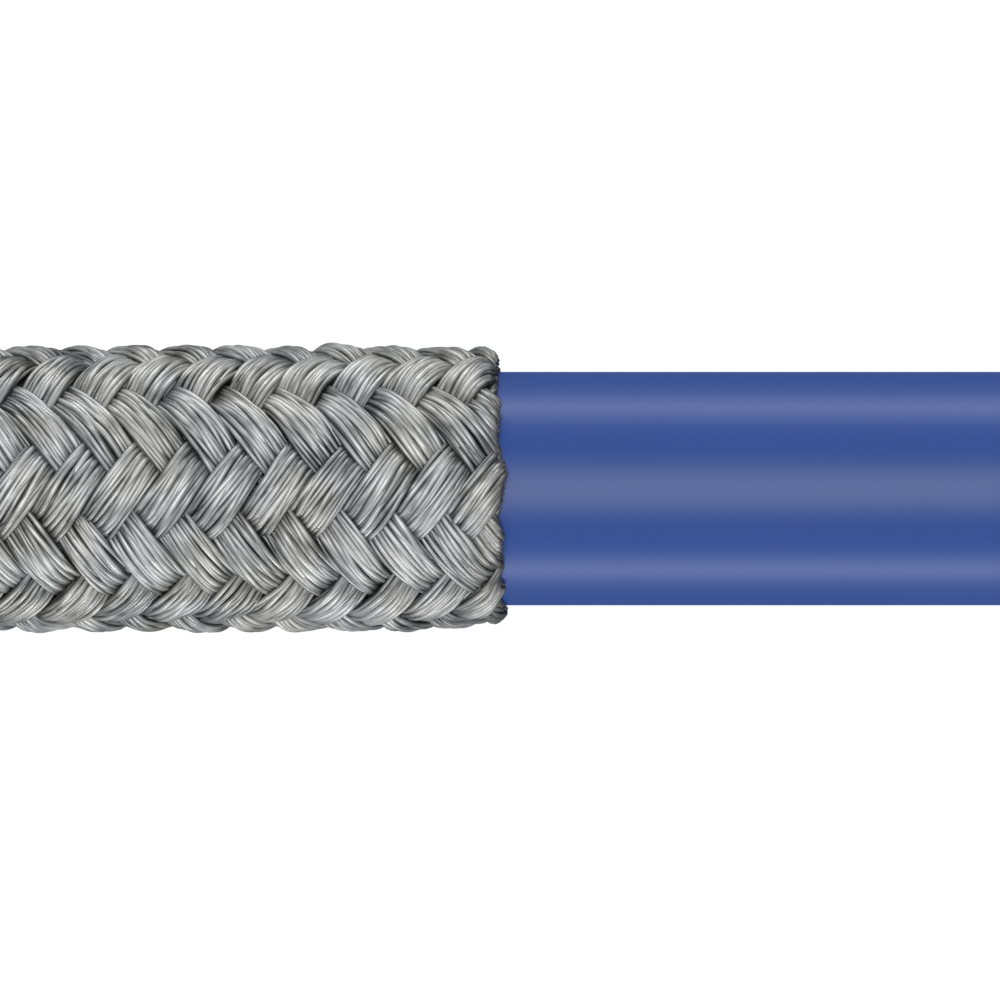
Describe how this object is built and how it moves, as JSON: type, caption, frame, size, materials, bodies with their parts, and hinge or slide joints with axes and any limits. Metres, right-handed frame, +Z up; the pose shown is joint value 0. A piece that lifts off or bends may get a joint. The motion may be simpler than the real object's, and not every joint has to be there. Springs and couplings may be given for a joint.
{
  "type": "screened microphone cable length",
  "caption": "Stripped-back length of screened microphone cable: jacket stub, bare metal braid, smooth inner sheath and a twisted pair with bare tips.",
  "frame": {"origin": "on the surface that the cable lies on, halfway along the piece and below its axis", "axes": "+X along the cable from the jacket towards the stripped conductor tips, +Z up"},
  "size_m": [0.0432, 0.0078, 0.0075],
  "materials": {
    "jacket": "matt black flexible plastic",
    "braid": "bright tinned copper wire",
    "sheath": "smooth semi-gloss blue plastic",
    "insulation_front": "white plastic insulation",
    "insulation_rear": "red plastic insulation",
    "core": "bare copper strands",
    "filler": "undyed cotton yarn"
  },
  "bodies": {
    "root": {"outer_jacket": "jacket", "inner_sheath": "sheath", "conductor_insulation_front": "insulation_front", "conductor_insulation_rear": "insulation_rear", "conductor_core_front": "core", "conductor_core_rear": "core", "filler_upper": "filler", "filler_lower": "filler", "braid_rising_bundle_01": "braid", "braid_falling_bundle_01": "braid", "braid_rising_bundle_02": "braid", "braid_falling_bundle_02": "braid", "braid_rising_bundle_03": "braid", "braid_falling_bundle_03": "braid", "braid_rising_bundle_04": "braid", "braid_falling_bundle_04": "braid", "braid_rising_bundle_05": "braid", "braid_falling_bundle_05": "braid", "braid_rising_bundle_06": "braid", "braid_falling_bundle_06": "braid", "braid_rising_bundle_07": "braid", "braid_falling_bundle_07": "braid", "braid_rising_bundle_08": "braid", "braid_falling_bundle_08": "braid", "braid_rising_bundle_09": "braid", "braid_falling_bundle_09": "braid", "braid_rising_bundle_10": "braid", "braid_falling_bundle_10": "braid", "braid_rising_bundle_11": "braid", "braid_falling_bundle_11": "braid", "braid_rising_bundle_12": "braid", "braid_falling_bundle_12": "braid"}
  },
  "joints": []
}
